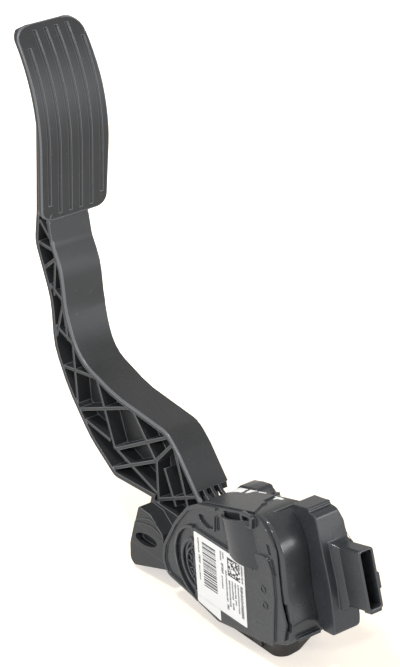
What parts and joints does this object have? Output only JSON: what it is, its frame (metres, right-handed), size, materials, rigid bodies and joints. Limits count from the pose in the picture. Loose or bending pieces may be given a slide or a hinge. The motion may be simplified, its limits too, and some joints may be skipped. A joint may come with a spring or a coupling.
{
  "type": "accelerator pedal",
  "caption": "Hanging accelerator pedal: ribbed plastic arm with grooved foot pad, sprung on a position sensor module with a plug socket.",
  "frame": {"origin": "centre of the four threaded inserts, on the base face that is screwed to the pedal bracket", "axes": "+Z points out of the base, from the base face towards the foot pad; +X runs along the pivot axis from the label side to the sensor side; the driver's foot is on the -Y side, as in the picture, where the part is shown pad up; in the car it hangs pad down"},
  "size_m": [0.059, 0.2849, 0.3022],
  "materials": {
    "arm_plastic": "fine grained glass-filled moulding",
    "housing_plastic": "satin glass-filled moulding",
    "sensor_plastic": "smooth satin moulding",
    "bearing_plastic": "smooth natural moulding",
    "carrier_plastic": "smooth moulding",
    "magnet": "sintered grey",
    "brass": "turned",
    "steel": "ground",
    "spring_steel": "drawn wire",
    "label": "white self-adhesive film",
    "rubber": "matt",
    "board": "lacquered",
    "chip": "moulded",
    "contact": "plated"
  },
  "bodies": {
    "housing": {"main_housing": "housing_plastic", "threaded_inserts": "brass", "pivot_pin": "steel", "pin_clip": "steel", "side_cover": "housing_plastic", "type_label": "label", "friction_shoe": "bearing_plastic", "friction_spring": "spring_steel", "return_spring_outer": "spring_steel", "return_spring_inner": "spring_steel", "spring_cap": "carrier_plastic", "idle_buffer": "rubber", "full_travel_buffer": "rubber", "sensor_housing": "sensor_plastic", "sensor_lid": "sensor_plastic", "sensor_board": "board", "sensor_chip": "chip", "board_parts": "chip", "connector_pins": "contact", "lid_seal": "rubber"},
    "arm": {"pedal_arm": "arm_plastic", "left_bushing": "bearing_plastic", "right_bushing": "bearing_plastic", "magnet_rotor": "carrier_plastic", "sensing_magnet": "magnet", "spring_seat": "carrier_plastic"}
  },
  "joints": [
    {"name": "pedal_swing", "type": "hinge", "parent": "housing", "child": "arm", "pos_m": [0, 0.025, 0.039], "axis": [-1, 0, 0], "range_deg": [0, 16], "stiffness_Nm_per_rad": 16, "springref_deg": -17.19, "deforming": ["return_spring_outer", "return_spring_inner"]}
  ]
}
